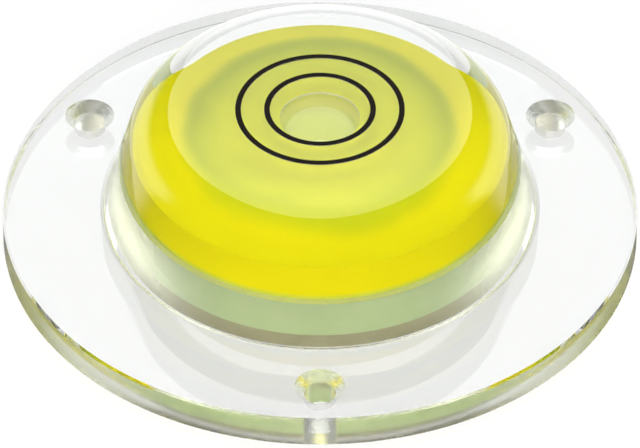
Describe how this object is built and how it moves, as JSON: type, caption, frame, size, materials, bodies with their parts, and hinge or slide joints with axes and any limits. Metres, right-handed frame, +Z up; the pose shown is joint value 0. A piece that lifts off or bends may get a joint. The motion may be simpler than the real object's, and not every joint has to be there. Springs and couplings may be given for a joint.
{
  "type": "bullseye level",
  "caption": "Round bullseye spirit level: a clear domed vial with a screw-down flange, tinted liquid, an air bubble and concentric target rings.",
  "frame": {"origin": "centre of the flange's underside, where the level rests", "axes": "+Z straight up through the middle of the target, -Y from the middle to the front mounting hole, +X to the right seen from the front"},
  "size_m": [0.06, 0.06, 0.015],
  "materials": {
    "clear_acrylic": "polished clear moulding",
    "white_disc": "translucent off-white moulding",
    "sealant": "amber sealing compound",
    "plug_plastic": "translucent off-white moulding",
    "tinted_liquid": "clear yellow-green liquid",
    "ring_ink": "black paint in a shallow groove"
  },
  "bodies": {
    "root": {"body": "clear_acrylic", "base_disc": "white_disc", "seal_ring": "sealant", "filler_plug": "plug_plastic", "liquid": "tinted_liquid", "target_ring_outer": "ring_ink", "target_ring_inner": "ring_ink"}
  },
  "joints": []
}
